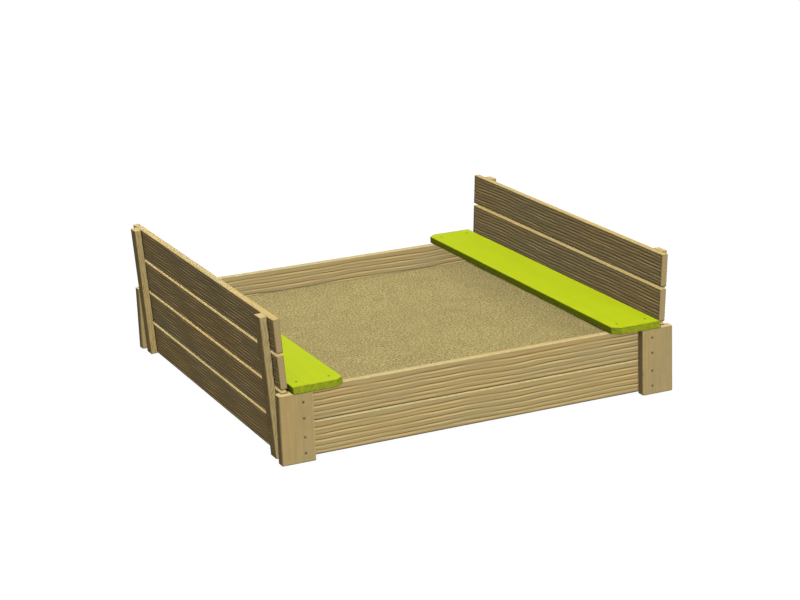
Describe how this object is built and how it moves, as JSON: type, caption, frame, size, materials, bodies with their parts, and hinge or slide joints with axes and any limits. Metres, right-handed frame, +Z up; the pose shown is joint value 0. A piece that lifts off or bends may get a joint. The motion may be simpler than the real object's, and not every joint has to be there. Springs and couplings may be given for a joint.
{
  "type": "sandbox with cover",
  "caption": "Square timber sandbox with lime-green bench seats at two sides and a two-part slatted cover stored upright outside the seats as backrests.",
  "frame": {"origin": "centre of the box's plan on the ground, under the middle of the sand", "axes": "+Z up; +X to the right along the front wall, across the two seats; +Y to the back wall, along the seats and the cover halves"},
  "size_m": [1.8962, 1.864, 0.6128],
  "materials": {
    "post_timber": "planed softwood, pale tan, faint curved growth-ring figure on the wide faces",
    "wall_timber": "planed softwood, pale tan, long wavy raised grain along the boards",
    "cover_timber": "planed softwood, pale tan, long wavy raised grain along the slats",
    "seat_timber": "lime-green stained softwood, satin, faint grain",
    "sand": "loose fine play sand, matt",
    "screw_steel": "zinc-plated countersunk wood screws, dull"
  },
  "bodies": {
    "box": {"back_board_lower": "wall_timber", "back_board_upper": "wall_timber", "front_board_lower": "wall_timber", "front_board_upper": "wall_timber", "left_side_board_lower": "wall_timber", "left_side_board_upper": "wall_timber", "post_back_left": "post_timber", "post_back_right": "post_timber", "post_front_left": "post_timber", "post_front_right": "post_timber", "right_side_board_lower": "wall_timber", "right_side_board_upper": "wall_timber", "sand_fill": "sand", "screws_posts_back": "screw_steel", "screws_posts_front": "screw_steel", "screws_seat_left": "screw_steel", "screws_seat_right": "screw_steel", "seat_left": "seat_timber", "seat_right": "seat_timber"},
    "cover_left": {"cover_left_batten_back": "cover_timber", "cover_left_batten_front": "cover_timber", "cover_left_slat_1": "cover_timber", "cover_left_slat_2": "cover_timber", "cover_left_slat_3": "cover_timber", "cover_left_slat_4": "cover_timber", "screws_cover_left": "screw_steel"},
    "cover_right": {"cover_right_batten_back": "cover_timber", "cover_right_batten_front": "cover_timber", "cover_right_slat_1": "cover_timber", "cover_right_slat_2": "cover_timber", "cover_right_slat_3": "cover_timber", "cover_right_slat_4": "cover_timber", "screws_cover_right": "screw_steel"}
  },
  "joints": [
    {"name": "cover_left_lift", "type": "slide", "parent": "box", "child": "cover_left", "axis": [-0.061, 0, 0.9981], "range_m": [0, 0.34]},
    {"name": "cover_right_lift", "type": "slide", "parent": "box", "child": "cover_right", "axis": [0.061, 0, 0.9981], "range_m": [0, 0.34]}
  ]
}
